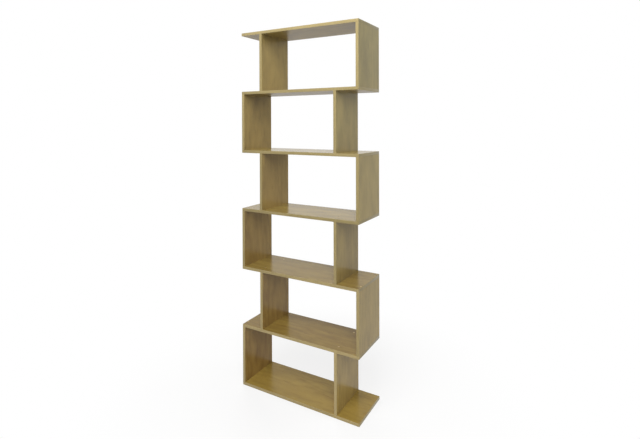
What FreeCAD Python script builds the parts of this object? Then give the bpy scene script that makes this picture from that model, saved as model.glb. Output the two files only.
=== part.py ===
"""Zigzag bookcase of edged chipboard: seven boards, and two upright panels in each tier between them.

The panels step to the left and to the right from tier to tier. Connector screws pass through the boards
into the panel ends. X runs along the width, Y from front to back and Z up, from the middle of the base.
"""
import FreeCAD
import Part
import math
import os

V = FreeCAD.Vector

# Overall form, in millimetres
WIDTH = 700.0
DEPTH = 240.0
BOARD = 15.0  # thickness of every board and panel
TIER_CLEAR = 300.0  # free height between two boards
INSET = 120.0  # from the end of the boards to the outer face of a panel that is set in
TIERS = 6

# Edging strips glued to the cut edges
EDGING = 0.8
EDGING_CHAMFER = 0.4

# One-piece connector screws, their places and their bores
SCREW_LENGTH = 50.0
SCREW_SETBACK = 37.0  # from the front or back edge to a screw's axis
HEAD_RADIUS = 4.75
HEAD_HEIGHT = 3.0
HEAD_SINK = 0.2  # how deep a head lies below the face of its board
SOCKET_FLATS = 4.0  # across the flats of the hexagon socket
SOCKET_DEPTH = 2.4
COLLAR_RADIUS = 3.5
CORE_RADIUS = 2.4
BORE_CLEARANCE = 0.2
BORE_SPARE_DEPTH = 2.0

# Angle brackets for the wall, on the back edge of the top board
BRACKET_SPACING = 400.0
BRACKET_WIDTH = 20.0
BRACKET_LEG = 25.0
BRACKET_SHEET = 2.0
BRACKET_BEND = 1.5  # inner radius of the bend
BRACKET_CORNER = 4.0
BRACKET_HOLE_RADIUS = 2.5
BRACKET_HOLE_OFFSET = 15.0  # from the outer corner of the angle to each hole

# Short wood screws that hold the brackets
WOOD_SCREW_LENGTH = 12.0
WOOD_HEAD_RADIUS = 4.0
WOOD_HEAD_HEIGHT = 2.2
WOOD_HEAD_TOP_RADIUS = 2.8
WOOD_CORE_RADIUS = 1.6

OVERRUN = 1.0  # how far a cutting tool passes the face that it leaves

# Screws and bores repeat, so their rounds have few flat sides
SCREW_SIDES = 10
SOCKET_SIDES = 6

UP = V(0, 0, 1)
FORWARD = V(0, -1, 0)
TIER_PITCH = BOARD + TIER_CLEAR
HEIGHT = TIERS * TIER_PITCH + BOARD
SCREW_ROWS = (SCREW_SETBACK - DEPTH / 2, DEPTH / 2 - SCREW_SETBACK)


def board_base(level):
    """Height of the lower face of a board, counted from 0 at the floor."""
    return level * TIER_PITCH


def board_name(level):
    if level == 0:
        return "bottom_board"
    if level == TIERS:
        return "top_board"
    return f"shelf_{level}"


def panel_name(tier, side):
    return f"tier_{tier}_{'left' if side < 0 else 'right'}_panel"


def panel_middle(tier, side):
    """X of the middle of a panel: side is -1 for left and 1 for right. One panel of each tier is set in."""
    flush_side = -1 if tier % 2 else 1
    step_in = 0 if side == flush_side else INSET
    return side * (WIDTH / 2 - step_in - BOARD / 2)


def polygon_ring(radius, height, sides):
    """Corners of a level polygon round the Z axis."""
    turns = [2 * math.pi * i / sides for i in range(sides)]
    return [V(radius * math.cos(turn), radius * math.sin(turn), height) for turn in turns]


def flat_face(corners):
    return Part.Face(Part.makePolygon(corners + corners[:1]))


def turned(profile, sides):
    """A solid round the Z axis with flat sides. The profile lists (radius, height) from the top down."""
    rings = [polygon_ring(radius, height, sides) for radius, height in profile]
    faces = [flat_face(rings[0]), flat_face(rings[-1][::-1])]
    for upper, lower in zip(rings, rings[1:]):
        for i in range(sides):
            j = (i + 1) % sides
            faces.append(flat_face([upper[i], lower[i], lower[j], upper[j]]))
    return Part.Solid(Part.Shell(faces))


def connector_screw():
    """Countersunk head with a hexagon socket, a thick collar in the board and a core in the panel."""
    top = -HEAD_SINK
    collar_top = top - HEAD_HEIGHT
    collar_foot = BORE_CLEARANCE - BOARD
    tip = top - SCREW_LENGTH
    body = turned(
        [
            (HEAD_RADIUS, top),
            (COLLAR_RADIUS, collar_top),
            (COLLAR_RADIUS, collar_foot),
            (CORE_RADIUS, collar_foot),
            (CORE_RADIUS, tip),
        ],
        SCREW_SIDES,
    )
    socket_radius = SOCKET_FLATS / 2 / math.cos(math.pi / SOCKET_SIDES)
    socket = turned([(socket_radius, top + OVERRUN), (socket_radius, top - SOCKET_DEPTH)], SOCKET_SIDES)
    return body.cut(socket).Solids[0]


def board_bore():
    """Countersink that the head seats in, and a clearance bore for the collar right through the board."""
    top = -HEAD_SINK
    wide = COLLAR_RADIUS + BORE_CLEARANCE
    seat_share = (HEAD_RADIUS - wide) / (HEAD_RADIUS - COLLAR_RADIUS)
    return turned(
        [
            (HEAD_RADIUS, OVERRUN),
            (HEAD_RADIUS, top),
            (wide, top - HEAD_HEIGHT * seat_share),
            (wide, -BOARD - OVERRUN),
        ],
        SCREW_SIDES,
    )


def pilot_bore():
    """Blind bore in a panel's end for the core of a screw, in the frame of that screw."""
    wide = CORE_RADIUS + BORE_CLEARANCE
    foot = -HEAD_SINK - SCREW_LENGTH - BORE_SPARE_DEPTH
    return turned([(wide, OVERRUN - BOARD), (wide, foot)], SCREW_SIDES)


def placed(shape, x, y, level, from_above):
    """A copy of a screw or bore, made hanging from the origin, at its place in a board."""
    copy = shape.copy()
    if not from_above:
        copy.rotate(V(0, 0, 0), V(1, 0, 0), 180)
    copy.translate(V(x, y, board_base(level) + (BOARD if from_above else 0)))
    return copy


def screw_places(level):
    """(x, y, from_above) of each screw in a board: down into the tier below, or up into the tier above."""
    places = []
    for tier, from_above in ((level, True), (level + 1, False)):
        if 1 <= tier <= TIERS:
            places += [(panel_middle(tier, side), y, from_above) for side in (-1, 1) for y in SCREW_ROWS]
    return places


def edging_strip(corner, outward, across, along):
    """A strip on a cut edge. It stands out by EDGING, and its two outer arrises are chamfered."""
    outer = EDGING - EDGING_CHAMFER
    shape = (
        (0, 0),
        (outer, 0),
        (EDGING, EDGING_CHAMFER),
        (EDGING, BOARD - EDGING_CHAMFER),
        (outer, BOARD),
        (0, BOARD),
    )
    section = flat_face([corner + outward * out + across * over for out, over in shape])
    return section.extrude(along)


def board(level):
    """The chipboard of one board, with the bores of its screws."""
    base = board_base(level)
    corner = V(EDGING - WIDTH / 2, EDGING - DEPTH / 2, base)
    slab = Part.makeBox(WIDTH - 2 * EDGING, DEPTH - 2 * EDGING, BOARD, corner)
    bore = board_bore()
    bores = [placed(bore, x, y, level, from_above) for x, y, from_above in screw_places(level)]
    if level == TIERS:
        bores += [bracket_screw_bore(side) for side in (-1, 1)]
    return slab.cut(Part.makeCompound(bores)).Solids[0]


def board_edging(level):
    """Front and back strips over the full width, and end strips between them."""
    base = board_base(level)
    side_x = WIDTH / 2 - EDGING
    side_y = DEPTH / 2 - EDGING
    strips = []
    for sign in (-1, 1):
        strips.append(edging_strip(V(-WIDTH / 2, sign * side_y, base), V(0, sign, 0), UP, V(WIDTH, 0, 0)))
        strips.append(edging_strip(V(sign * side_x, -side_y, base), V(sign, 0, 0), UP, V(0, 2 * side_y, 0)))
    return Part.makeCompound(strips)


def panel(tier, side):
    """The chipboard of one upright panel, with the pilot bores in its two ends."""
    middle = panel_middle(tier, side)
    base = board_base(tier - 1) + BOARD
    corner = V(middle - BOARD / 2, EDGING - DEPTH / 2, base)
    slab = Part.makeBox(BOARD, DEPTH - 2 * EDGING, TIER_CLEAR, corner)
    bore = pilot_bore()
    bores = []
    for y in SCREW_ROWS:
        bores.append(placed(bore, middle, y, tier, True))
        bores.append(placed(bore, middle, y, tier - 1, False))
    return slab.cut(Part.makeCompound(bores)).Solids[0]


def panel_edging(tier, side):
    """Front and back strips of one panel, from board to board."""
    left = panel_middle(tier, side) - BOARD / 2
    base = board_base(tier - 1) + BOARD
    strips = []
    for sign in (-1, 1):
        corner = V(left, sign * (DEPTH / 2 - EDGING), base)
        strips.append(edging_strip(corner, V(0, sign, 0), V(1, 0, 0), UP * TIER_CLEAR))
    return Part.makeCompound(strips)


def board_screws(level):
    """All connector screws that pass through one board."""
    screw = connector_screw()
    return Part.makeCompound([placed(screw, x, y, level, above) for x, y, above in screw_places(level)])


def bracket_corner(side):
    """Where the outer corner of a bracket's angle meets the back edge of the top board, at mid width."""
    return V(side * BRACKET_SPACING / 2, DEPTH / 2, HEIGHT)


def bracket_section():
    """Outline of the bent sheet, with its outer corner at the origin, on the left edge of the bracket."""
    left = -BRACKET_WIDTH / 2
    bend_outer = BRACKET_BEND + BRACKET_SHEET
    diagonal_share = math.sqrt(2) / 2

    def bend(radius, start, end):
        reach = radius * diagonal_share
        return Part.Arc(start, V(left, reach - bend_outer, bend_outer - reach), end).toShape()

    lying_tip = V(left, -BRACKET_LEG, 0)
    outer_start = V(left, -bend_outer, 0)
    outer_end = V(left, 0, bend_outer)
    standing_tip = V(left, 0, BRACKET_LEG)
    standing_inner_tip = V(left, -BRACKET_SHEET, BRACKET_LEG)
    inner_start = V(left, -BRACKET_SHEET, bend_outer)
    inner_end = V(left, -bend_outer, BRACKET_SHEET)
    lying_inner_tip = V(left, -BRACKET_LEG, BRACKET_SHEET)
    edges = [
        Part.makeLine(lying_tip, outer_start),
        bend(bend_outer, outer_start, outer_end),
        Part.makeLine(outer_end, standing_tip),
        Part.makeLine(standing_tip, standing_inner_tip),
        Part.makeLine(standing_inner_tip, inner_start),
        bend(BRACKET_BEND, inner_start, inner_end),
        Part.makeLine(inner_end, lying_inner_tip),
        Part.makeLine(lying_inner_tip, lying_tip),
    ]
    return Part.Face(Part.Wire(edges))


def is_leg_corner(edge):
    """True for the four short edges across the sheet, at the free ends of a bracket's legs."""
    near = BRACKET_SHEET / 2
    box = edge.BoundBox
    on_lying = abs(box.YMax + BRACKET_LEG) < near and box.ZLength > near
    on_standing = abs(box.ZMin - BRACKET_LEG) < near and box.YLength > near
    return box.XLength < near and (on_lying or on_standing)


def wall_bracket(side):
    """An angle of bent sheet: one leg lies on the top board, the other stands flush with its back edge."""
    angle = bracket_section().extrude(V(BRACKET_WIDTH, 0, 0))
    angle = angle.makeFillet(BRACKET_CORNER, [edge for edge in angle.Edges if is_leg_corner(edge)])
    reach = BRACKET_SHEET + 2 * OVERRUN
    lying_hole = Part.makeCylinder(BRACKET_HOLE_RADIUS, reach, V(0, -BRACKET_HOLE_OFFSET, -OVERRUN), UP)
    wall_hole = Part.makeCylinder(BRACKET_HOLE_RADIUS, reach, V(0, OVERRUN, BRACKET_HOLE_OFFSET), FORWARD)
    bracket = angle.cut(Part.makeCompound([lying_hole, wall_hole])).Solids[0]
    bracket.translate(bracket_corner(side))
    return bracket


def bracket_screw_place(side):
    return bracket_corner(side) + V(0, -BRACKET_HOLE_OFFSET, 0)


def bracket_screw_bore(side):
    """Pilot bore in the top board for the screw of one bracket."""
    wide = WOOD_CORE_RADIUS + BORE_CLEARANCE
    foot = BRACKET_SHEET - WOOD_SCREW_LENGTH - BORE_CLEARANCE
    bore = turned([(wide, OVERRUN), (wide, foot)], SCREW_SIDES)
    bore.translate(bracket_screw_place(side))
    return bore


def bracket_screw(side):
    """A domed head on the lying leg of a bracket, and a core in the top board."""
    seat = BRACKET_SHEET
    screw = turned(
        [
            (WOOD_HEAD_TOP_RADIUS, seat + WOOD_HEAD_HEIGHT),
            (WOOD_HEAD_RADIUS, seat + WOOD_HEAD_HEIGHT / 2),
            (WOOD_HEAD_RADIUS, seat),
            (WOOD_CORE_RADIUS, seat),
            (WOOD_CORE_RADIUS, seat - WOOD_SCREW_LENGTH),
        ],
        SCREW_SIDES,
    )
    screw.translate(bracket_screw_place(side))
    return screw


def all_nodes():
    """Each node's name and shape."""
    nodes = {}
    for level in range(TIERS + 1):
        name = board_name(level)
        nodes[name] = board(level)
        nodes[f"{name}_edging"] = board_edging(level)
        nodes[f"{name}_screws"] = board_screws(level)
    for tier in range(1, TIERS + 1):
        for side in (-1, 1):
            name = panel_name(tier, side)
            nodes[name] = panel(tier, side)
            nodes[f"{name}_edging"] = panel_edging(tier, side)
    nodes["wall_bracket_left"] = wall_bracket(-1)
    nodes["wall_bracket_right"] = wall_bracket(1)
    nodes["wall_bracket_screws"] = Part.makeCompound([bracket_screw(side) for side in (-1, 1)])
    return nodes


os.makedirs("parts", exist_ok=True)
for node_name, node_shape in all_nodes().items():
    node_shape.exportStep(f"parts/{node_name}.step")
    print(f"{node_name}: solids {len(node_shape.Solids)}, volume {node_shape.Volume:.0f} mm3")
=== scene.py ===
# %% [markdown]
# # A zigzag bookshelf in edged chipboard
# The shelf is seven boards and twelve upright panels of chipboard with an oak-look melamine face. The
# panels step to the left and to the right from tier to tier, and that makes the zigzag. The
# construction is already there as a fixed frame in metres, with Z up and the front towards -Y. This
# lesson gives every piece its finish, models what the frame keeps plain, and sets up floor, light and
# camera.

# %% Load the frame
import math

import bpy
from mathutils import Color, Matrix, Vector


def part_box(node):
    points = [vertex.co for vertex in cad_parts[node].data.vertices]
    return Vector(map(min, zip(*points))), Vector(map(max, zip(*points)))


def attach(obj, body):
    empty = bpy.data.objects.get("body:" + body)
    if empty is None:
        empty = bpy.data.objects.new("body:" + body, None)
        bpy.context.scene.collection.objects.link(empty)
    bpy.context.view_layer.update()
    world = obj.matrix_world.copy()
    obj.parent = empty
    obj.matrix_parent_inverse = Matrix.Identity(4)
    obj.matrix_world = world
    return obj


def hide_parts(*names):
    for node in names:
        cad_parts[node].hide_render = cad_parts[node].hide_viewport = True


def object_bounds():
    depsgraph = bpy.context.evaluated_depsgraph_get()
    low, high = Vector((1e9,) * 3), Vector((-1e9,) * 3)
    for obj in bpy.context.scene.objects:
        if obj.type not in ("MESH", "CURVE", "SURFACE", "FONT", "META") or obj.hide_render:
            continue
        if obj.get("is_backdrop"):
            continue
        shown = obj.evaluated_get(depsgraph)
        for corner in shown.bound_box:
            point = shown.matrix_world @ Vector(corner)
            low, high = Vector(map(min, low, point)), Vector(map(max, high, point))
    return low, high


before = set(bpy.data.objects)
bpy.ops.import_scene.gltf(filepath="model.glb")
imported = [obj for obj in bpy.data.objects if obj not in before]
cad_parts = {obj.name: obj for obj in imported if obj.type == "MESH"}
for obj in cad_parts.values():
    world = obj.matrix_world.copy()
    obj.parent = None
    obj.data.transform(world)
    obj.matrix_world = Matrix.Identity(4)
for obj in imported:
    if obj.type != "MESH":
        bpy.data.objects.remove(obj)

cad_low, cad_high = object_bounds()
print("frame loaded:", len(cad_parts), "nodes, box", [round(v, 4) for v in cad_high - cad_low])

# %% [markdown]
# ## The pieces and their sizes
# Everything that follows is worked out from the frame: the names of the boards and panels, the
# thickness of the board material and the height of one tier. Reading them here once keeps bare numbers
# out of the modelling, and a change in the frame moves the looks along with it.

# %% Read the pieces from the frame
MM = 0.001
SIDES = ("left", "right")
TIERS = sum(name.endswith("_left_panel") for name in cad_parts)
BOARDS = ["bottom_board"] + [f"shelf_{level}" for level in range(1, TIERS)] + ["top_board"]
PANELS = [f"tier_{tier}_{side}_panel" for tier in range(1, TIERS + 1) for side in SIDES]

shelf_low, shelf_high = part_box("shelf_1")
next_low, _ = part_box("shelf_2")
BOARD = shelf_high.z - shelf_low.z
TIER_PITCH = next_low.z - shelf_low.z
print(f"{TIERS} tiers, one every {TIER_PITCH / MM:.1f} mm, and boards {BOARD / MM:.1f} mm thick")

# %% [markdown]
# ## Helpers for materials
# A shader is a small network of nodes. It could be wired node by node, but the wiring would then hide
# what a finish is made of. One helper fills the sockets of a node: another node's output is linked, a
# number or colour is set on the socket. A second helper adds a node, and a third one does sums.

# %% Define the helpers for nodes
def fill(tree, node, inputs):
    """Fills the inputs of a node: outputs of other nodes are linked, numbers and colours are set."""
    for name, value in inputs.items():
        if isinstance(value, bpy.types.NodeSocket):
            tree.links.new(value, node.inputs[name])
        else:
            node.inputs[name].default_value = value


def add_node(tree, kind, inputs, **settings):
    """Adds a node to a tree, with its settings and the values or links of its inputs."""
    node = tree.nodes.new(kind)
    for name, value in settings.items():
        setattr(node, name, value)
    fill(tree, node, inputs)
    return node


def maths(tree, operation, first, second=0.0, third=0.0):
    """The output of a Math node."""
    inputs = {0: first, 1: second, 2: third}
    return add_node(tree, "ShaderNodeMath", inputs, operation=operation).outputs[0]


print("helpers for nodes:", fill.__name__, add_node.__name__, maths.__name__)

# %% [markdown]
# Colours are easier to judge as 0 to 255 on a screen, so one helper turns those into the linear values
# that a renderer works with. Two more mix colours and make a bump out of a height, and the last one
# starts a material with its main shader.

# %% Define the helpers for colours
SCREEN_WHITE = 255


def screen_colour(red, green, blue):
    """A colour as a screen shows it, from 0 to 255, as the linear colour of a socket."""
    shares = [value / SCREEN_WHITE for value in (red, green, blue)]
    return (*Color(shares).from_srgb_to_scene_linear(), 1.0)


def mixed(tree, share, first, second):
    """A colour between two others, which is the first at a share of 0 and the second at 1."""
    inputs = {"Factor": share, "A": first, "B": second}
    return add_node(tree, "ShaderNodeMix", inputs, data_type="RGBA").outputs["Result"]


def bump(tree, height, strength, relief):
    """A normal that follows a height, where a height of 1 stands for the relief in metres."""
    inputs = {"Height": height, "Strength": strength, "Distance": relief}
    return add_node(tree, "ShaderNodeBump", inputs).outputs[0]


def new_material(name):
    """A material with its node tree and its main shader."""
    material = bpy.data.materials.new(name)
    material.use_nodes = True
    return material, material.node_tree, material.node_tree.nodes["Principled BSDF"]


print("screen grey 128 is", round(screen_colour(128, 128, 128)[0], 3), "in linear light")

# %% [markdown]
# ## Numbers for the pieces
# No two boards carry the same stretch of print, so each board, panel and strip needs a number. It could
# be stored on each piece, but a shader can work it out from the place that it shades: the height
# gives the tier, and the sign of X gives the side. Object coordinates serve well for that, because
# every piece has its place in its mesh.

# %% Number the boards and panels
PANEL_STEP = 3.0  # numbers from the panels of one tier to those of the next


def object_place(tree):
    """The place that is shaded, in metres."""
    return add_node(tree, "ShaderNodeTexCoord", {}).outputs["Object"]


def place_parts(tree):
    """X, Y and Z of the place that is shaded."""
    parts = add_node(tree, "ShaderNodeSeparateXYZ", {0: object_place(tree)}).outputs
    return parts["X"], parts["Y"], parts["Z"]


def tier_number(tree, height, first_height):
    """Counts tiers upwards from the first height, in whole numbers."""
    raised = maths(tree, "SUBTRACT", height, first_height)
    return maths(tree, "FLOOR", maths(tree, "DIVIDE", raised, TIER_PITCH))


def board_number(tree, height, first):
    """Numbers the boards upwards from the first number."""
    return maths(tree, "ADD", tier_number(tree, height, -TIER_PITCH / 2), first)


def panel_number(tree, side, height, first):
    """Numbers the tiers upwards in steps, with the left panel one below and the right one above."""
    step = maths(tree, "MULTIPLY_ADD", tier_number(tree, height, BOARD / 2), PANEL_STEP, first)
    return maths(tree, "ADD", step, maths(tree, "SIGN", side))


print("numbers for", len(BOARDS), "boards and", len(PANELS), "panels")

# %% [markdown]
# ## Where the grain runs
# The oak print runs along the boards and up the panels, and on the edging it runs along the strip. A
# place on the surface is therefore turned into three distances: along the grain, across it, and into
# the wood. The number of the piece goes with them. Each kind of piece counts from a number of its own,
# which also settles how light or dark its pieces come out.

# %% Turn a place into grain directions
BOARD_LOG = 70.0  # number of the lowest board's piece of the log
PANEL_LOG = 210.0
FRONT_STRIP_LOG = 866.0
END_STRIP_LOG = 859.0
PANEL_STRIP_LOG = 10.0


def lying_grain(tree):
    """Along, across and into a board, whose grain runs along X."""
    x, y, z = place_parts(tree)
    return x, y, z, board_number(tree, z, BOARD_LOG)


def standing_grain(tree):
    """Along, across and into a panel, whose grain runs upwards."""
    x, y, z = place_parts(tree)
    return z, y, x, panel_number(tree, x, z, PANEL_LOG)


def front_strip_grain(tree):
    """Along, across and into a strip on the front or back of a board."""
    x, y, z = place_parts(tree)
    return x, z, y, board_number(tree, z, FRONT_STRIP_LOG)


def end_strip_grain(tree):
    """Along, across and into a strip on the end of a board."""
    x, y, z = place_parts(tree)
    return y, z, x, board_number(tree, z, END_STRIP_LOG)


def standing_strip_grain(tree):
    """Along, across and into a strip on the front or back of a panel."""
    x, y, z = place_parts(tree)
    return z, x, y, panel_number(tree, x, z, PANEL_STRIP_LOG)


print("grain directions for boards, panels and three kinds of edging")

# %% [markdown]
# ## The oak pattern
# Along its grain oak shows broad streaks and soft clouds, flecks, fine fibres and short dark pores. Each
# of them is a noise that is stretched along the grain, with a size of its own along it and across. The
# piece's number moves it along the log, so that every piece shows another stretch.

# %% Define the stretched noises
LOG_STEP = 3.7  # metres along the log from one number to the next
NOISE_ROUGHNESS = 0.6
GRAIN_NOISES = {  # waves in a metre along the grain and across it, and detail
    "streaks": (6.0, 26.0, 3.0),
    "clouds": (7.0, 16.0, 3.0),
    "flecks": (11.0, 75.0, 2.0),
    "fibres": (7.0, 480.0, 2.0),
    "pores": (70.0, 1700.0, 1.0),
}


def stretched_noise(tree, along, across, depth, sizes):
    """A noise from 0 to 1 at a place in the log."""
    along_waves, across_waves, detail = sizes
    place = add_node(tree, "ShaderNodeCombineXYZ", {
        0: maths(tree, "MULTIPLY", along, along_waves),
        1: maths(tree, "MULTIPLY", across, across_waves),
        2: maths(tree, "MULTIPLY", depth, across_waves),
    }).outputs[0]
    return add_node(tree, "ShaderNodeTexNoise", {
        "Vector": place, "Scale": 1.0, "Detail": detail, "Roughness": NOISE_ROUGHNESS}).outputs["Fac"]


print("stretched noises:", ", ".join(GRAIN_NOISES))

# %% [markdown]
# Noise alone would look like brushed paint. Growth rings that are cut at a slant make long arches, so
# they are worked out as in a log: the rings lie round a pith under the face, which tilts a little and
# is warped by slow noise. Where it lies is drawn by the piece's number.

# %% Define the growth rings
RING_WIDTH = 14 * MM
RING_WAVES = 2.2  # how many rings the streaks push aside
PITH_DEPTH = 60 * MM
PITH_SWAY = 170 * MM  # width of the band that its place is drawn from
PITH_SLOPE = 0.22  # the most that it tilts
PITH_WARP = 110 * MM
PITH_NOISE = (2.4, 9.0, 2.0)  # waves in a metre along the grain and across it, and detail


def drawn(tree, number):
    """Outputs of a noise that gives each number a value and a colour of its own."""
    return add_node(tree, "ShaderNodeTexWhiteNoise", {"W": number}, noise_dimensions="1D").outputs


def off_middle(tree, value):
    """How far a value from 0 to 1 lies off the middle."""
    return maths(tree, "SUBTRACT", value, 0.5)


def growth_rings(tree, along, across, number, warp, streaks):
    """The rings at a place, from 0 to 1 and back."""
    draws = add_node(tree, "ShaderNodeSeparateColor", {0: drawn(tree, number)["Color"]}).outputs
    side = maths(tree, "MULTIPLY_ADD", off_middle(tree, draws[0]), PITH_SWAY, across)
    side = maths(tree, "MULTIPLY_ADD", off_middle(tree, warp), PITH_WARP, side)
    slope = maths(tree, "MULTIPLY", off_middle(tree, draws[1]), 2 * PITH_SLOPE)
    drop = maths(tree, "MULTIPLY_ADD", slope, along, PITH_DEPTH)
    to_pith = add_node(tree, "ShaderNodeCombineXYZ", {0: side, 1: drop}).outputs[0]
    radius = add_node(tree, "ShaderNodeVectorMath", {0: to_pith}, operation="LENGTH").outputs["Value"]
    rings = maths(tree, "DIVIDE", radius, RING_WIDTH)
    rings = maths(tree, "MULTIPLY_ADD", streaks, RING_WAVES, rings)
    return maths(tree, "PINGPONG", rings, 1.0)


print("rings of", round(RING_WIDTH / MM), "mm round a pith", round(PITH_DEPTH / MM), "mm deep")

# %% [markdown]
# The pieces of one shelf are cut from several sheets of board, and no two sheets are equally light. So
# the pattern gets one more tone, which is the same all over a piece and is drawn by its number.

# %% Put the oak pattern together
SHEET_LOT = 13538  # which lot the lighter and darker sheets come from


def oak_pattern(tree, along, across, depth, number):
    """Sockets from 0 to 1 for each noise of the pattern, for its rings and for the tone of the sheet."""
    log_place = (maths(tree, "MULTIPLY_ADD", number, LOG_STEP, along), across, depth)
    pattern = {name: stretched_noise(tree, *log_place, sizes) for name, sizes in GRAIN_NOISES.items()}
    warp = stretched_noise(tree, *log_place, PITH_NOISE)
    pattern["rings"] = growth_rings(tree, along, across, number, warp, pattern["streaks"])
    pattern["sheet"] = drawn(tree, maths(tree, "ADD", number, SHEET_LOT))["Value"]
    return pattern


print("oak pattern of", len(GRAIN_NOISES), "noises, rings and the tone of the sheet")

# %% [markdown]
# ## Painted cool light
# A grey olive is mixed into the print's colour. It takes out red and contrast, more near the top of the
# shelf than near the floor, and more on the outer sides of the panels than on the inner ones. This is
# painted light: a cool tint that stands in for cooler light from above and from the side. A second set
# of colours for each panel would do, but mixing in one colour by height and by the direction that a
# face looks in keeps the change smooth.

# %% Mix painted cool light into a colour
# painted light: a cool grey olive, mixed in more towards the top and on faces that look outwards
PAINTED_LIGHT_TINT = screen_colour(112, 132, 101)
PAINTED_TINT_AT_TOP = 0.24  # share of the painted cool tint at the top
PAINTED_TINT_OUTSIDE = 0.14


def painted_light(tree, colour, painted_tint_share):
    """A colour with painted cool light mixed in, by its height on the shelf and the side that it faces."""
    x, _, z = place_parts(tree)
    normal = add_node(tree, "ShaderNodeNewGeometry", {}).outputs["Normal"]
    facing = add_node(tree, "ShaderNodeSeparateXYZ", {0: normal}).outputs["X"]
    outward = maths(tree, "MAXIMUM", maths(tree, "MULTIPLY", facing, maths(tree, "SIGN", x)), 0.0)
    # the share of painted cool light grows with height and on faces that look outwards
    share = maths(tree, "MULTIPLY", z, painted_tint_share * PAINTED_TINT_AT_TOP / cad_high.z)
    share = maths(tree, "MULTIPLY_ADD", outward, painted_tint_share * PAINTED_TINT_OUTSIDE, share)
    return mixed(tree, share, colour, PAINTED_LIGHT_TINT)


print("print bleached by up to", round(PAINTED_TINT_AT_TOP + PAINTED_TINT_OUTSIDE, 2), "of the bleached colour")

# %% [markdown]
# ## Satin melamine
# The print lies under a clear resin film that is satin all over, with the pores pressed into it. The
# tone of the pattern picks a colour between a brown and a pale olive oak, low in contrast, as printed
# paper is. The streaks barely move the roughness, and pores and fibres make a very fine bump. The film
# reflects little when one looks straight at it and much at a flat angle, so a low index of refraction
# is set.

# %% Define the melamine material
FILM_IOR = 1.3
SATIN = 0.18  # least roughness of the film
STREAK_ROUGHNESS = 0.08  # the most that streaks add to it
FLECK_EDGES = (0.58, 0.72)  # where in its noise a fleck begins and where it is full
PORE_EDGES = (0.60, 0.68)
FIBRE_HEIGHT = 0.5  # as a share of the depth of a pore
PRINT_BUMP = 0.2
PRINT_RELIEF = 0.1 * MM
MIDDLE_TONE = 0.5


def above(tree, noise, edges, **settings):
    """0 below the first edge and 1 above the second, with a slope between them."""
    inputs = {"Value": noise, "From Min": edges[0], "From Max": edges[1]}
    return add_node(tree, "ShaderNodeMapRange", inputs, **settings).outputs[0]


def oak_material(name, grain, colours, strengths, film=SATIN, painted_tint_share=1.0):
    """Oak-look melamine, where strengths says how far each part of the pattern moves the tone."""
    material, tree, shader = new_material(name)
    pattern = oak_pattern(tree, *grain(tree))
    pattern["flecks"] = above(tree, pattern["flecks"], FLECK_EDGES, interpolation_type="SMOOTHSTEP")
    pattern["pores"] = above(tree, pattern["pores"], PORE_EDGES)
    tone = MIDDLE_TONE
    for layer, strength, middle in strengths:
        offset = maths(tree, "SUBTRACT", pattern[layer], middle)
        tone = maths(tree, "MULTIPLY_ADD", offset, strength, tone)
    fibres = maths(tree, "MULTIPLY", pattern["fibres"], FIBRE_HEIGHT)
    height = maths(tree, "SUBTRACT", fibres, pattern["pores"])
    fill(tree, shader, {
        # the print's colour with painted cool light mixed in, by height and by the side that a face looks
        # to
        "Base Color": painted_light(tree, mixed(tree, tone, *colours), painted_tint_share),
        "Roughness": maths(tree, "MULTIPLY_ADD", pattern["streaks"], STREAK_ROUGHNESS, film),
        "Normal": bump(tree, height, PRINT_BUMP, PRINT_RELIEF),
        "IOR": FILM_IOR,
    })
    return material


print("melamine film of roughness", SATIN, "and index", FILM_IOR)

# %% [markdown]
# Boards and panels come from different runs of print and differ a little in colour. The undersides of
# the boards have a matter film than the faces that are used, and they take less of the painted cool
# light. That makes three materials of one recipe.

# %% Mix the oak of boards and panels
FACE_STRENGTHS = (  # part of the pattern, how far it moves the tone, and its middle
    ("sheet", 0.5, 0.5), ("rings", 0.25, 0.5), ("streaks", 1.0, 0.5), ("clouds", 1.0, 0.5),
    ("flecks", -0.22, 0.1), ("fibres", 0.35, 0.5), ("pores", -0.30, 0.1),
)
BOARD_COLOURS = (screen_colour(119, 93, 42), screen_colour(154, 130, 63))
PANEL_COLOURS = (screen_colour(128, 99, 50), screen_colour(165, 136, 74))
MATT = 0.30  # least roughness of the film below the boards
UNDERSIDE_PAINTED_TINT = 0.4  # share of the painted cool light on the undersides

oak_lying = oak_material("oak_melamine_lying", lying_grain, BOARD_COLOURS, FACE_STRENGTHS)
# the undersides take less of the painted cool light
oak_under = oak_material("oak_melamine_underside", lying_grain, BOARD_COLOURS, FACE_STRENGTHS,
                         film=MATT, painted_tint_share=UNDERSIDE_PAINTED_TINT)
oak_standing = oak_material("oak_melamine_standing", standing_grain, PANEL_COLOURS, FACE_STRENGTHS)
print("made", oak_lying.name, oak_under.name, "and", oak_standing.name)

# %% [markdown]
# ## Edging
# The cut edges carry thin plastic strips in a paler and plainer oak than the faces. On a strip 15 mm
# wide no arches show, only fibres along its length, so the same material is mixed without rings and
# flecks. The end strips of the boards get darker colours: painted shade, for less light on the ends.

# %% Mix the edging material
STRIP_STRENGTHS = (
    ("sheet", 0.8, 0.5), ("streaks", 0.7, 0.5), ("fibres", 0.6, 0.5), ("pores", -0.25, 0.1),
)
STRIP_COLOURS = (screen_colour(140, 124, 82), screen_colour(170, 151, 106))
# painted shade: the end strips are darker than the front ones, for less light on the ends
END_SHADED_COLOURS = (screen_colour(130, 115, 78), screen_colour(158, 140, 101))
STRIP_PAINTED_TINT = 0.4  # share of the painted cool light on the strips


def edging_material(name, grain, colours):
    """Plain oak for a kind of edging, with less painted cool light."""
    return oak_material(name, grain, colours, STRIP_STRENGTHS, painted_tint_share=STRIP_PAINTED_TINT)


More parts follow.
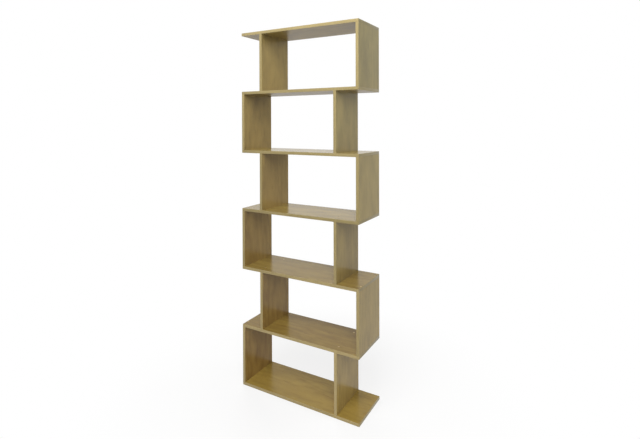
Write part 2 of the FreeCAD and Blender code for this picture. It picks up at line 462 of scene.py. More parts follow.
strip_front = edging_material("oak_edging_front", front_strip_grain, STRIP_COLOURS)
strip_end_shaded = edging_material("oak_edging_end_shaded", end_strip_grain, END_SHADED_COLOURS)
strip_standing = edging_material("oak_edging_standing", standing_strip_grain, STRIP_COLOURS)
print("made", strip_front.name, strip_end_shaded.name, "and", strip_standing.name)

# %% [markdown]
# ## Raw chipboard
# Inside the screw bores the board shows its core: chips of wood pressed with resin, each chip a little
# lighter or darker than its neighbours. Plain noise would look like felt. Voronoi cells, about two
# millimetres across and pressed flat, are close to chips.

# %% Mix the chipboard material
CHIPS_IN_A_METRE = (450, 450, 1100)
CHIP_COLOURS = (screen_colour(120, 90, 58), screen_colour(196, 166, 122))
CHIP_BUMP = 0.6
CHIP_RELIEF = 0.3 * MM
CHIPBOARD_ROUGHNESS = 0.9


def chipboard_material():
    """The raw core of the boards."""
    material, tree, shader = new_material("raw_chipboard")
    flat = add_node(tree, "ShaderNodeMapping", {
        "Vector": object_place(tree), "Scale": CHIPS_IN_A_METRE}).outputs[0]
    chips = add_node(tree, "ShaderNodeTexVoronoi", {"Vector": flat, "Scale": 1.0}).outputs
    shade = add_node(tree, "ShaderNodeSeparateColor", {0: chips["Color"]}).outputs[0]
    fill(tree, shader, {
        "Base Color": mixed(tree, shade, *CHIP_COLOURS),
        "Roughness": CHIPBOARD_ROUGHNESS,
        "Normal": bump(tree, chips["Distance"], CHIP_BUMP, CHIP_RELIEF),
    })
    return material


chipboard = chipboard_material()
print("made", chipboard.name)

# %% [markdown]
# ## Zinc plating
# Screws and brackets are steel with a thin coat of zinc, left bluish grey on the brackets and passivated
# to a pale yellow on the screws. Fresh zinc isn't mirror bright: it is cloudy, with fine marks from the
# barrel that the parts were plated in. A slow noise clouds the colour and the roughness, and a fast one
# gives the marks.

# %% Mix the zinc material
CLOUD_DETAIL = 3.0
MARK_DETAIL = 2.0
MARKS_TO_A_CLOUD = 12
CLEAR_ROUGHNESS = 0.25
CLOUD_ROUGHNESS = 0.25  # the most that clouds add to it
MARK_BUMP = 0.15
MARK_RELIEF = 0.05 * MM
SCREW_COLOURS = (screen_colour(186, 162, 116), screen_colour(228, 205, 156))
SCREW_CLOUDS = 900  # in a metre
SHEET_COLOURS = (screen_colour(160, 160, 156), screen_colour(214, 214, 210))
SHEET_CLOUDS = 260


def even_noise(tree, waves, detail):
    """A noise from 0 to 1, of the same size in all directions."""
    inputs = {"Vector": object_place(tree), "Scale": waves, "Detail": detail}
    return add_node(tree, "ShaderNodeTexNoise", inputs).outputs["Fac"]


def zinc_material(name, colours, clouds_in_a_metre):
    """Zinc-plated steel, clouded between a dull and a pale colour."""
    material, tree, shader = new_material(name)
    clouds = even_noise(tree, clouds_in_a_metre, CLOUD_DETAIL)
    marks = even_noise(tree, MARKS_TO_A_CLOUD * clouds_in_a_metre, MARK_DETAIL)
    fill(tree, shader, {
        "Base Color": mixed(tree, clouds, *colours),
        "Metallic": 1.0,
        "Roughness": maths(tree, "MULTIPLY_ADD", clouds, CLOUD_ROUGHNESS, CLEAR_ROUGHNESS),
        "Normal": bump(tree, marks, MARK_BUMP, MARK_RELIEF),
    })
    return material


screw_zinc = zinc_material("zinc_screw", SCREW_COLOURS, SCREW_CLOUDS)
sheet_zinc = zinc_material("zinc_sheet", SHEET_COLOURS, SHEET_CLOUDS)
print("made", screw_zinc.name, "and", sheet_zinc.name)

# %% [markdown]
# ## Helpers for modelling
# Operators act on whatever is selected, so each step first clears the selection. A box is a cube
# primitive stretched between two corners, with its size and place then applied to its mesh. Edges are
# picked by the place of their ends, as one would click them.

# %% Define the helpers for boxes and edges
def only(piece):
    """Selects one piece and nothing else."""
    bpy.ops.object.select_all(action="DESELECT")
    piece.select_set(True)
    bpy.context.view_layer.objects.active = piece


def settle():
    """Applies the place, turn and scale of the selected piece to its mesh."""
    bpy.ops.object.transform_apply(location=True, rotation=True, scale=True)


def add_box(name, low, high):
    """A box between two corners."""
    bpy.ops.object.select_all(action="DESELECT")
    bpy.ops.mesh.primitive_cube_add(size=1.0, location=(low + high) / 2, scale=high - low)
    settle()
    piece = bpy.context.object
    piece.name = name
    return piece


def select_edges(piece, wanted):
    """Opens a piece in edit mode with just those edges selected whose two ends are wanted."""
    if bpy.context.mode != "OBJECT":
        bpy.ops.object.mode_set(mode="OBJECT")
    only(piece)
    bpy.ops.object.mode_set(mode="EDIT")
    bpy.ops.mesh.select_mode(type="EDGE")
    bpy.ops.mesh.select_all(action="DESELECT")
    bpy.ops.object.mode_set(mode="OBJECT")
    corners = piece.data.vertices
    for edge in piece.data.edges:
        edge.select = all(wanted(corners[i].co) for i in edge.vertices)
    bpy.ops.object.mode_set(mode="EDIT")


print("helpers for boxes and edges:", add_box.__name__, select_edges.__name__)

# %% [markdown]
# Screws and drills are turned pieces. They could be cylinders and cones set on each other, but a turned
# piece that starts as a disc and is extruded downwards ring by ring, as on a lathe, is closed and has
# no seams inside.

# %% Define the lathe
def face_outwards():
    """Turns all faces of the mesh that is edited outwards and leaves edit mode."""
    bpy.ops.mesh.select_all(action="SELECT")
    bpy.ops.mesh.normals_make_consistent(inside=False)
    bpy.ops.object.mode_set(mode="OBJECT")


def turn(name, sides, profile):
    """A closed turned piece round the Z axis, from (radius, height) pairs listed from the top down."""
    radius, height = profile[0]
    bpy.ops.object.select_all(action="DESELECT")
    bpy.ops.mesh.primitive_circle_add(
        vertices=sides, radius=radius, fill_type="NGON", location=(0, 0, height))
    settle()
    piece = bpy.context.object
    piece.name = name
    bpy.ops.object.mode_set(mode="EDIT")
    for next_radius, next_height in profile[1:]:
        drop = (0, 0, next_height - height)
        bpy.ops.mesh.extrude_region_move(TRANSFORM_OT_translate={"value": drop})
        share = next_radius / radius
        bpy.ops.transform.resize(value=(share, share, 1), center_override=(0, 0, next_height))
        radius, height = next_radius, next_height
    face_outwards()
    return piece


print("lathe:", turn.__name__)

# %% [markdown]
# What repeats is modelled once at the origin and copied. Linked copies would share one mesh, but here
# the mesh of each copy has to hold its place, so each copy gets a mesh of its own. Copies that belong
# together are joined into one object.

# %% Define the helpers for copies
UPRIGHT = (0, 0, 0)  # angles about X, Y and Z


def copy_at(piece, place, turned=UPRIGHT):
    """A copy with its own mesh, turned by three angles and moved to a place."""
    only(piece)
    bpy.ops.object.duplicate(linked=False)
    copy = bpy.context.object
    copy.rotation_euler = turned
    copy.location = place
    settle()
    return copy


def join(name, pieces):
    """Joins pieces into one object."""
    only(pieces[0])
    for piece in pieces:
        piece.select_set(True)
    bpy.ops.object.join()
    pieces[0].name = name
    return pieces[0]


print("helpers for copies:", copy_at.__name__, join.__name__)

# %% [markdown]
# A modifier is added, set up and applied in one go, so that a piece ends as a plain mesh. A Boolean
# modifier cuts with a tool that is then thrown away. The last helper hands a finished piece over to the
# frame, which hides the plain nodes that the piece stands for.

# %% Define the helpers for finishing pieces
BODY = "root"


def apply_modifier(piece, kind, **settings):
    """Adds a modifier, sets it up and applies it."""
    only(piece)
    modifier = piece.modifiers.new(kind.title(), kind)
    for name, value in settings.items():
        setattr(modifier, name, value)
    bpy.ops.object.modifier_apply(modifier=modifier.name)


def cut(piece, tool):
    """Cuts a tool's shape out of a piece and removes the tool."""
    apply_modifier(piece, "BOOLEAN", operation="DIFFERENCE", solver="EXACT", object=tool)
    bpy.data.objects.remove(tool)


def smooth(piece, angle):
    """Shades a piece smoothly across edges that bend by less than an angle."""
    only(piece)
    bpy.ops.object.shade_smooth_by_angle(angle=angle)


def fit(piece, slot, materials, *nodes):
    """Gives a piece its materials, lets it stand for its nodes, and lets it ride on the shelf; slot is not
    used.
    """
    piece.data.name = piece.name
    for material in materials:
        piece.data.materials.append(material)
    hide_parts(*nodes)
    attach(piece, BODY)


print("helpers for modifiers, cuts and shading; finished pieces ride on", BODY)

# %% [markdown]
# ## Where the screws sit
# Each panel end is held by two one-piece connector screws: those from above hold the top end of the
# panel below a board, those from below hold the bottom end of the panel above it. The panels step from
# tier to tier, so the two kinds never meet. A screw's place follows from the middle of its panel. Two
# wood screws on the top board, near its back edge, hold the wall brackets.

# %% Find the places of the screws
SCREW_SETBACK = 37 * MM  # from the front and from the back
BRACKET_HOLE_OFFSET = 15 * MM  # from the outer face of the bracket's other leg
UPSIDE_DOWN = (math.pi, 0, 0)


def screw_places(level):
    """(place on the face of a board, how it is turned) for each of its screws."""
    low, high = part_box(f"{BOARDS[level]}_edging")
    rows = (low.y + SCREW_SETBACK, high.y - SCREW_SETBACK)
    places = []
    for tier, face_height, turned in ((level, high.z, UPRIGHT), (level + 1, low.z, UPSIDE_DOWN)):
        if 1 <= tier <= TIERS:
            for side in SIDES:
                panel_low, panel_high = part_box(f"tier_{tier}_{side}_panel")
                middle = (panel_low.x + panel_high.x) / 2
                places += [(Vector((middle, y, face_height)), turned) for y in rows]
    return places


def wood_screw_places():
    """Places on the top face of the top board."""
    boxes = [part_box(f"wall_bracket_{side}") for side in SIDES]
    return [Vector(((low.x + high.x) / 2, high.y - BRACKET_HOLE_OFFSET, low.z)) for low, high in boxes]


print("connector screws:", sum(len(screw_places(level)) for level in range(TIERS + 1)))
print("wood screws:", [tuple(round(v, 4) for v in place) for place in wood_screw_places()])

# %% [markdown]
# ## The bores
# A connector screw needs a stepped bore: a countersink for its head and a narrower bore for its collar.
# The frame keeps its bores ten-sided. Round ones could be extruded into the board face by face, but a
# turned tool of the bore's shape does it in one cut, as a stepped drill does.

# %% Turn the drills
ROUND_SIDES = 36
HEAD_RADIUS = 4.75 * MM
HEAD_HEIGHT = 3 * MM
HEAD_SINK = 0.2 * MM
COLLAR_RADIUS = 3.5 * MM
BORE_CLEARANCE = 0.2 * MM
WOOD_CORE_RADIUS = 1.6 * MM
WOOD_BORE_DEPTH = 12 * MM
OVERRUN = 1 * MM


def stepped_drill():
    """A drill for the bore of a connector screw, right through a board."""
    bore = COLLAR_RADIUS + BORE_CLEARANCE
    rim = HEAD_RADIUS + BORE_CLEARANCE / 2
    return turn("stepped_drill", ROUND_SIDES, [
        (rim, OVERRUN), (rim, -HEAD_SINK), (bore, -HEAD_SINK - HEAD_HEIGHT), (bore, -BOARD - OVERRUN)])


def pilot_drill():
    """A drill for the blind bore of a wood screw."""
    bore = WOOD_CORE_RADIUS + BORE_CLEARANCE
    return turn("pilot_drill", ROUND_SIDES, [(bore, OVERRUN), (bore, -WOOD_BORE_DEPTH)])


stepped, pilot = stepped_drill(), pilot_drill()
print("drills", stepped.name, "and", pilot.name)

# %% [markdown]
# ## The boards
# A board is a slab of chipboard: a cube stretched to the slab's box and cut by a copy of the drill at
# each screw. Whatever lies inside that box is then bore wall and shows raw chipboard, and the rest
# shows the oak, satin above and matter below.

# %% Model the boards
NEAR = 0.01 * MM


def paint_slab(piece, low, high):
    """Gives the second material to what lies inside the slab's box, and the third to its underside."""
    for face in piece.data.polygons:
        gaps = [abs(face.center[axis] - side[axis]) for axis in range(3) for side in (low, high)]
        if min(gaps) > NEAR:
            face.material_index = 1
        elif face.center.z < low.z + NEAR:
            face.material_index = 2


for level, name in enumerate(BOARDS):
    low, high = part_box(name)
    slab = add_box(f"{name}_slab", low, high)
    tools = [copy_at(stepped, place, turned) for place, turned in screw_places(level)]
    if name == "top_board":
        tools += [copy_at(pilot, place) for place in wood_screw_places()]
    cut(slab, join("bores", tools))
    fit(slab, "oak_face", [oak_lying, chipboard, oak_under], name)
    paint_slab(slab, low, high)
    print(slab.name, "has", len(tools), "bores and", len(slab.data.polygons), "faces")
for drill in (stepped, pilot):
    bpy.data.objects.remove(drill)

# %% [markdown]
# ## The panels
# The panels' shapes are right as they are: plain slabs whose pilot bores lie hidden in their ends.
# Modelling them again would add nothing that shows, so they only take the oak with upright grain.

# %% Dress the panels
for name in PANELS:
    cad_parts[name].material_slots[0].material = oak_standing
print("dressed", len(PANELS), "panels")

# %% [markdown]
# ## The edging strips
# A strip is pressed on with hot glue and its arrises are then rounded by a small cutter. It could be one
# bevelled box round the whole board, but the real strips meet at the corners: the front and back ones
# run over the full width, and the end ones lie between them. Each is a cube whose outer edges are
# bevelled.

# %% Define the edging strips
STRIP_ROUND = 0.4 * MM
STRIP_ROUND_STEPS = 3


def strip(low, high, outward):
    """A strip between two corners, with the edges of its outer face rounded."""
    piece = add_box("strip", low, high)
    axis = max(range(3), key=lambda i: abs(outward[i]))
    outer = high[axis] if outward[axis] > 0 else low[axis]
    select_edges(piece, lambda place: abs(place[axis] - outer) < NEAR)
    bpy.ops.mesh.bevel(offset=STRIP_ROUND, segments=STRIP_ROUND_STEPS, affect="EDGES")
    bpy.ops.object.mode_set(mode="OBJECT")
    return piece


def strips_round(name, with_ends):
    """The strips on the front and back of a slab, and on its ends where it has them there."""
    low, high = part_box(name)
    outer_low, outer_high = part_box(f"{name}_edging")
    spans = [
        (outer_low, (outer_high.x, low.y, high.z), (0, -1, 0)),
        ((outer_low.x, high.y, low.z), outer_high, (0, 1, 0)),
    ]
    if with_ends:
        spans += [
            ((outer_low.x, low.y, low.z), (low.x, high.y, high.z), (-1, 0, 0)),
            ((high.x, low.y, low.z), (outer_high.x, high.y, high.z), (1, 0, 0)),
        ]
    return [strip(Vector(start), Vector(end), outward) for start, end, outward in spans]


print(f"strips rounded by {STRIP_ROUND / MM:.1f} mm")

# %% [markdown]
# A board is edged all round, a panel only at the front and the back, because its ends butt against the
# boards. The strips of one board or panel are joined into one piece. On a board the end strips take
# their own material, darker by painted shade, and they are found as the faces between the front and
# the back strip.

# %% Edge the boards and panels
STRIP_SMOOTH = math.radians(50)


def paint_shaded_ends(piece, low, high):
    """Gives the second material, darker by painted shade, to the strips on the ends of a board."""
    for face in piece.data.polygons:
        if low.y < face.center.y < high.y:
            face.material_index = 1


for name in BOARDS:
    edging = join(f"{name}_rounded_edging", strips_round(name, True))
    smooth(edging, STRIP_SMOOTH)
    fit(edging, "oak_edging", [strip_front, strip_end_shaded], f"{name}_edging")
    paint_shaded_ends(edging, *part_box(name))
for name in PANELS:
    edging = join(f"{name}_rounded_edging", strips_round(name, False))
    smooth(edging, STRIP_SMOOTH)
    fit(edging, "oak_edging", [strip_standing], f"{name}_edging")
print("edged", len(BOARDS), "boards and", len(PANELS), "panels")

# %% [markdown]
# ## A screw thread
# A thread is a small triangle carried round the core and up by one pitch for each turn. The Screw
# modifier does just that. The foot of the ridge lies inside the core, so that no gap shows, and its
# ends are closed.

# %% Define the thread
THREAD_STEPS = 12
RIDGE_SHARE = 0.3  # half the width of the ridge at its foot, as a share of the pitch


def add_thread(core, outer, top, foot, pitch):
    """A helical ridge on a core of that radius, between two heights."""
    half = pitch * RIDGE_SHARE
    inside = core - half / 2
    bpy.ops.object.select_all(action="DESELECT")
    bpy.ops.mesh.primitive_circle_add(vertices=3, radius=1.0, location=(0, 0, 0))
    ridge = bpy.context.object
    ridge.name = "thread"
    section = ((outer, 0.0), (inside, half), (inside, -half))
    for corner, (radius, height) in zip(ridge.data.vertices, section):
        corner.co = (radius, 0, foot + half + height)
    turns = int((top - foot - 2 * half) / pitch)
    apply_modifier(ridge, "SCREW", axis="Z", screw_offset=pitch, iterations=turns, angle=2 * math.pi,
                   steps=THREAD_STEPS, render_steps=THREAD_STEPS, use_merge_vertices=False)
    bpy.ops.object.mode_set(mode="EDIT")
    bpy.ops.mesh.select_all(action="SELECT")
    bpy.ops.mesh.fill_holes(sides=3)
    face_outwards()
    return ridge


print("threads have", THREAD_STEPS, "steps to a turn")

# %% [markdown]
# ## The connector screws
# A connector screw for chipboard has a countersunk head with a hexagon socket, a smooth collar that
# fills the bore of the board, and a coarse thread in the panel. It is turned once, its socket is cut
# with a six-sided tool, and it is copied to all its places. The screws of one board form one piece.

# %% Model the connector screws
SCREW_LENGTH = 50 * MM
CORE_RADIUS = 2.4 * MM
THREAD_RADIUS = 3.4 * MM
THREAD_PITCH = 3 * MM
SOCKET_SIDES = 6
SOCKET_FLATS = 4 * MM
SOCKET_DEPTH = 2.4 * MM
SOCKET_TAPER = 4  # how many times narrower its floor is
RIM = 0.35 * MM
TIP_LENGTH = 2 * MM
TIP_TAPER = 3
METAL_SMOOTH = math.radians(35)


def connector_screw():
    """One screw, hanging from the face of a board at the origin."""
    head_top = -HEAD_SINK
    collar_foot = BORE_CLEARANCE - BOARD
    tip = head_top - SCREW_LENGTH
    body = turn("connector_screw", ROUND_SIDES, [
        (HEAD_RADIUS - RIM, head_top),
        (HEAD_RADIUS, head_top - RIM),
        (COLLAR_RADIUS, head_top - HEAD_HEIGHT),
        (COLLAR_RADIUS, collar_foot + RIM),
        (CORE_RADIUS, collar_foot),
        (CORE_RADIUS, tip + TIP_LENGTH),
        (CORE_RADIUS / TIP_TAPER, tip),
    ])
    socket_radius = SOCKET_FLATS / 2 / math.cos(math.pi / SOCKET_SIDES)
    cut(body, turn("socket_tool", SOCKET_SIDES, [
        (socket_radius, head_top + OVERRUN),
        (socket_radius, head_top - SOCKET_DEPTH),
        (socket_radius / SOCKET_TAPER, head_top - SOCKET_DEPTH - RIM),
    ]))
    thread = add_thread(CORE_RADIUS, THREAD_RADIUS, collar_foot - RIM, tip + TIP_LENGTH, THREAD_PITCH)
    return join("connector_screw", [body, thread])


screw = connector_screw()
smooth(screw, METAL_SMOOTH)
for level, name in enumerate(BOARDS):
    copies = [copy_at(screw, place, turned) for place, turned in screw_places(level)]
    fit(join(f"{name}_connector_screws", copies), "screw_zinc", [screw_zinc], f"{name}_screws")
print("one connector screw has", len(screw.data.polygons), "faces; copied to", len(BOARDS), "boards")
bpy.data.objects.remove(screw)

# %% [markdown]
# ## The wall brackets
# Two angles of bent sheet stop the tall shelf from tipping: one leg lies on the top board, the other
# stands against the wall. Sheet metal is modelled as it is made: a flat blank with rounded corners is
# folded, given its thickness, and drilled. Here a plane is the lying leg, its back edge is extruded into
# the standing leg, a bevel on the fold makes the bend, and bevelled corner points make the round ends.

# %% Fold the blank of a wall bracket
BRACKET_BEND = 3.5 * MM  # outer radius of the bend
BRACKET_BEND_STEPS = 8
BRACKET_CORNER = 4 * MM
BRACKET_CORNER_STEPS = 6
bracket_low, bracket_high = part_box("wall_bracket_left")
BRACKET_WIDTH = bracket_high.x - bracket_low.x
BRACKET_LEG = bracket_high.y - bracket_low.y


def folded_blank():
    """The outer surface of the angle, with its fold along the X axis."""
    bpy.ops.object.select_all(action="DESELECT")
    bpy.ops.mesh.primitive_plane_add(size=1.0, location=(0, -BRACKET_LEG / 2, 0))
    blank = bpy.context.object
    blank.scale = (BRACKET_WIDTH, BRACKET_LEG, 1)
    settle()
    select_edges(blank, lambda place: abs(place.y) < NEAR)
    bpy.ops.mesh.extrude_edges_move(TRANSFORM_OT_translate={"value": (0, 0, BRACKET_LEG)})
    select_edges(blank, lambda place: abs(place.y) < NEAR and abs(place.z) < NEAR)
    bpy.ops.mesh.bevel(offset=BRACKET_BEND, segments=BRACKET_BEND_STEPS, affect="EDGES")
    select_edges(blank, lambda place: place.y < NEAR - BRACKET_LEG or place.z > BRACKET_LEG - NEAR)
    bpy.ops.mesh.bevel(offset=BRACKET_CORNER, segments=BRACKET_CORNER_STEPS, affect="VERTICES")
    face_outwards()
    return blank


blank = folded_blank()
print("bracket blank with", len(blank.data.vertices), "points")

# %% [markdown]
# Thickness comes from the Solidify modifier, which grows the sheet towards the inside of the angle. Two
# turned tools drill the holes, and a last narrow bevel takes the sharpness off every edge, as tumbling
# does to stamped parts. The finished bracket is copied to its two places on the back edge of the top
# board.

# %% Finish the wall brackets
BRACKET_SHEET = 2 * MM
BRACKET_HOLE_RADIUS = 2.5 * MM
BRACKET_ARRIS = 0.25 * MM
BRACKET_ARRIS_STEPS = 2
BRACKET_ARRIS_ANGLE = math.radians(40)  # of the flattest edge that is bevelled
LYING = (math.pi / 2, 0, 0)


def bracket_drills():
    """A drill for the hole of each leg."""
    upright = turn("drill", ROUND_SIDES, [
        (BRACKET_HOLE_RADIUS, BRACKET_SHEET + OVERRUN), (BRACKET_HOLE_RADIUS, -OVERRUN)])
    lying = copy_at(upright, (0, 0, BRACKET_HOLE_OFFSET), LYING)
    only(upright)
    upright.location.y = -BRACKET_HOLE_OFFSET
    settle()
    return join("drills", [upright, lying])


apply_modifier(blank, "SOLIDIFY", thickness=BRACKET_SHEET, offset=-1.0)
cut(blank, bracket_drills())
apply_modifier(blank, "BEVEL", width=BRACKET_ARRIS, segments=BRACKET_ARRIS_STEPS, limit_method="ANGLE",
               angle_limit=BRACKET_ARRIS_ANGLE)
smooth(blank, METAL_SMOOTH)
for side in SIDES:
    low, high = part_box(f"wall_bracket_{side}")
    bracket = copy_at(blank, ((low.x + high.x) / 2, high.y, low.z))
    bracket.name = f"wall_bracket_{side}_folded"
    fit(bracket, "bracket_zinc", [sheet_zinc], f"wall_bracket_{side}")
    print(bracket.name, "has", len(bracket.data.polygons), "faces")
bpy.data.objects.remove(blank)

# %% [markdown]
# ## The wood screws
# A short pan-head screw holds each bracket down on the board. Its head is a low dome with a cross recess
# for a screwdriver. The recess is cut by two crossed wedges: a box whose foot is drawn in, and a copy
# of it that is turned by a right angle.

# %% Make the tools for the cross recess
WOOD_HEAD_HEIGHT = 2.2 * MM
RECESS_LENGTH = 4.2 * MM
RECESS_WIDTH = 0.9 * MM
RECESS_DEPTH = 1.5 * MM
RECESS_TAPER = 0.45  # share of its length and width at its foot
QUARTER_TURN = (0, 0, math.pi / 2)


def cross_wedges():
    """Two crossed wedges, narrower at the foot."""
    half = Vector((RECESS_LENGTH / 2, RECESS_WIDTH / 2, 0))
    foot = WOOD_HEAD_HEIGHT - RECESS_DEPTH
    top = WOOD_HEAD_HEIGHT + OVERRUN
    wedge = add_box("wedge", Vector((-half.x, -half.y, foot)), Vector((half.x, half.y, top)))
    select_edges(wedge, lambda place: place.z < foot + NEAR)
    bpy.ops.transform.resize(value=(RECESS_TAPER, RECESS_TAPER, 1), center_override=(0, 0, foot))
    bpy.ops.object.mode_set(mode="OBJECT")
    return wedge, copy_at(wedge, (0, 0, 0), QUARTER_TURN)


wedges = cross_wedges()
print("made", len(wedges), "wedges for the recess")

# %% [markdown]
# The dome is turned from a quarter of an ellipse that starts at a small flat, and the shank under it is
# turned in the same go. It ends in a long point, as wood screws do, and it has a finer thread than the
# connector screws.

# %% Model the wood screws
WOOD_SCREW_LENGTH = 12 * MM
WOOD_HEAD_RADIUS = 4 * MM
WOOD_HEAD_SIDE = 0.6 * MM
WOOD_HEAD_FLAT = 1.4 * MM
WOOD_HEAD_STEPS = 5
WOOD_THREAD_RADIUS = 2.1 * MM
WOOD_THREAD_PITCH = 1.6 * MM
WOOD_TIP_LENGTH = 2 * WOOD_CORE_RADIUS
WOOD_TIP_TAPER = 5


def wood_screw():
    """One screw whose head rests on the plane z = 0."""
    dome = []
    for step in range(WOOD_HEAD_STEPS, -1, -1):
        angle = math.pi / 2 * step / WOOD_HEAD_STEPS
        dome.append((WOOD_HEAD_FLAT + (WOOD_HEAD_RADIUS - WOOD_HEAD_FLAT) * math.cos(angle),
                     WOOD_HEAD_SIDE + (WOOD_HEAD_HEIGHT - WOOD_HEAD_SIDE) * math.sin(angle)))
    tip = -WOOD_SCREW_LENGTH
    point = tip + WOOD_TIP_LENGTH
    body = turn("wood_screw", ROUND_SIDES, dome + [
        (WOOD_HEAD_RADIUS, 0), (WOOD_CORE_RADIUS, 0), (WOOD_CORE_RADIUS, point),
        (WOOD_CORE_RADIUS / WOOD_TIP_TAPER, tip)])
    for wedge in wedges:
        cut(body, wedge)
    thread = add_thread(WOOD_CORE_RADIUS, WOOD_THREAD_RADIUS, -BRACKET_SHEET, point, WOOD_THREAD_PITCH)
    return join("wood_screw", [body, thread])


screw = wood_screw()
smooth(screw, METAL_SMOOTH)
copies = [copy_at(screw, place + Vector((0, 0, BRACKET_SHEET))) for place in wood_screw_places()]
print("one wood screw has", len(screw.data.polygons), "faces; copied to", len(copies), "places")
fit(join("wall_bracket_wood_screws", copies), "screw_zinc", [screw_zinc], "wall_bracket_screws")
bpy.data.objects.remove(screw)

# %% [markdown]
# ## The floor
# A product picture is taken on a white sweep, so far from the shelf the floor has to be plain white. A
# lit white floor comes out grey in the shade, so part of what the camera and reflections see of it is
# plain white light, more and more with distance. Near the shelf enough of the painted floor is left to
# take its soft shadow.

# %% Lay the floor
FLOOR_SIZE = 24.0
FLOOR_PAINT = (0.85, 0.85, 0.85, 1)
FLOOR_ROUGHNESS = 0.9
FLOOR_FADE = (0.3, 1.2)  # distances from the middle of the shelf, in metres
FLOOR_WHITE_SHARE = 0.75  # of white light within the first of them
WHITE = (1, 1, 1, 1)


def seen_directly(tree):
    """1 for what is seen straight, in a reflection or through glass, and 0 for light that falls."""
    path = add_node(tree, "ShaderNodeLightPath", {}).outputs
    seen = maths(tree, "MAXIMUM", path["Is Camera Ray"], path["Is Glossy Ray"])
    return maths(tree, "MAXIMUM", seen, path["Is Transmission Ray"])


def floor_material():
    """White paint that takes the shadow near the shelf and is plain white further off."""
    material, tree, shader = new_material("studio_floor_paint")
    fill(tree, shader, {
        "Base Color": FLOOR_PAINT, "Roughness": FLOOR_ROUGHNESS, "Specular IOR Level": 0.0})
    far = add_node(tree, "ShaderNodeVectorMath", {0: object_place(tree)}, operation="LENGTH")
    fade = add_node(tree, "ShaderNodeMapRange", {
        "Value": far.outputs["Value"], "From Min": FLOOR_FADE[0], "From Max": FLOOR_FADE[1],
        "To Min": FLOOR_WHITE_SHARE,
    }, interpolation_type="SMOOTHSTEP")
    share = maths(tree, "MULTIPLY", fade.outputs[0], seen_directly(tree))
    light = add_node(tree, "ShaderNodeEmission", {"Color": WHITE, "Strength": 1.0})
    mix = add_node(tree, "ShaderNodeMixShader", {0: share, 1: shader.outputs[0], 2: light.outputs[0]})
    fill(tree, tree.nodes["Material Output"], {"Surface": mix.outputs[0]})
    return material


bpy.ops.object.select_all(action="DESELECT")
bpy.ops.mesh.primitive_plane_add(size=FLOOR_SIZE, location=(0, 0, 0))
floor = bpy.context.object
floor.name = "studio_floor"
floor.data.materials.append(floor_material())
floor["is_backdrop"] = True
print("floor", FLOOR_SIZE, "m wide")

# %% [markdown]
# ## The white room
# The world is a white room that fills the shadows. What is seen of it is plain white, and what falls on
# the shelf is weaker, so that the lamps still give the surfaces their shape.

# %% Light the world
ROOM_LEVEL = 0.3

world = bpy.data.worlds.new("studio_white")
world.use_nodes = True
bpy.context.scene.world = world
tree = world.node_tree
strength = add_node(tree, "ShaderNodeMapRange", {
    "Value": seen_directly(tree), "To Min": ROOM_LEVEL, "To Max": 1.0})
fill(tree, tree.nodes["Background"], {"Color": WHITE, "Strength": strength.outputs[0]})
print("room at", ROOM_LEVEL, "of white")

# %% [markdown]
# ## The lamps
# The light falls steeply from the front and from the right, so each shelf shades the back of the tier
# under it. Large softboxes keep those shadows soft. A weak one at the right, behind the shelf, lifts
# the outer faces towards the back, and one at the left lights the side that is turned away from the
# camera. None of them is seen in reflections, which show the white room instead.

# %% Hang the softboxes
SHELF_MIDDLE = Vector((0, 0, 1.0))
SOFTBOXES = {  # place, size and power, in metres and watts
    "front_top_softbox": ((0.4, -1.8, 3.6), (2.0, 1.2), 74),
    "front_right_softbox": ((1.8, -2.8, 2.9), (2.0, 1.6), 62),
    "right_back_softbox": ((2.6, 1.6, 2.6), (1.6, 1.4), 20),
    "left_back_softbox": ((-2.4, 2.2, 1.6), (2.0, 1.6), 52),
}


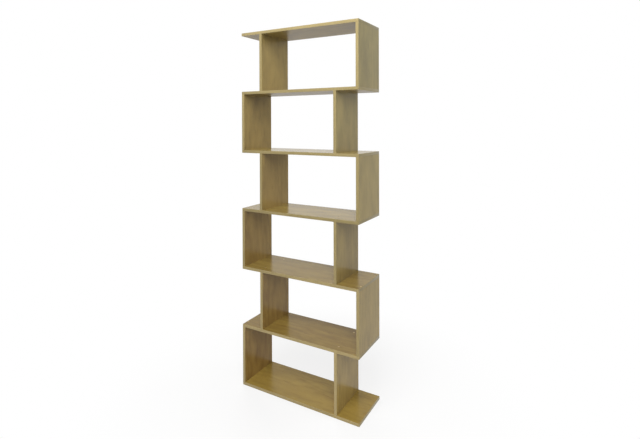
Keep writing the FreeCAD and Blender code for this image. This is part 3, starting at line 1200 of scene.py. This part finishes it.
def hang_softbox(name, place, size, watts):
    """A rectangular lamp at a place that points at the middle of the shelf."""
    bpy.ops.object.select_all(action="DESELECT")
    bpy.ops.object.light_add(type="AREA", location=place)
    lamp = bpy.context.object
    lamp.name = name
    lamp.rotation_euler = (SHELF_MIDDLE - Vector(place)).to_track_quat("-Z", "Y").to_euler()
    lamp.data.shape = "RECTANGLE"
    lamp.data.size, lamp.data.size_y = size
    lamp.data.energy = watts
    lamp.visible_camera = False
    lamp.visible_glossy = False
    print(name, "at", place, "with", watts, "W")


for name, (place, size, watts) in SOFTBOXES.items():
    hang_softbox(name, place, size, watts)

# %% [markdown]
# ## The camera
# The picture's upright edges are parallel, though the camera stands at the height of the upper shelves
# and the whole shelf is in the frame. That is what a shift lens does: the camera looks almost level, and
# the lens is moved down to take in the floor. The place and angle were found by matching corners of the
# boards, and the lens follows from the picture's size in pixels.

# %% Set up the camera
PICTURE_SIZE = (640, 439)
FOCAL_PIXELS = 439.1
AXIS_PIXEL = (332.46, 126.82)  # where the camera looks straight ahead
CAMERA_PLACE = (1.2372, -1.9569, 1.4182)
CAMERA_YAW = math.radians(29.19)
CAMERA_PITCH = math.radians(-0.46)
CAMERA_ROLL = math.radians(0.16)
SENSOR_WIDTH = 36.0

bpy.ops.object.select_all(action="DESELECT")
bpy.ops.object.camera_add(
    location=CAMERA_PLACE, rotation=(math.pi / 2 + CAMERA_PITCH, CAMERA_ROLL, CAMERA_YAW))
camera = bpy.context.object
camera.name = "photo_camera"
camera.data.sensor_width = SENSOR_WIDTH
camera.data.lens = FOCAL_PIXELS * SENSOR_WIDTH / PICTURE_SIZE[0]
camera.data.shift_x = (PICTURE_SIZE[0] / 2 - AXIS_PIXEL[0]) / PICTURE_SIZE[0]
camera.data.shift_y = (AXIS_PIXEL[1] - PICTURE_SIZE[1] / 2) / PICTURE_SIZE[0]
bpy.context.scene.camera = camera
bpy.context.scene.view_settings.view_transform = "Standard"
print(f"lens {camera.data.lens:.1f} mm, shift {camera.data.shift_x:.3f}, {camera.data.shift_y:.3f}")

# %% [markdown]
# ## The finished size
# The box of the finished model is printed, to set beside the box of the frame that was printed when it
# was loaded.

# %% Print the finished size
low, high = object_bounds()
print("finished box", [round(v, 4) for v in high - low])
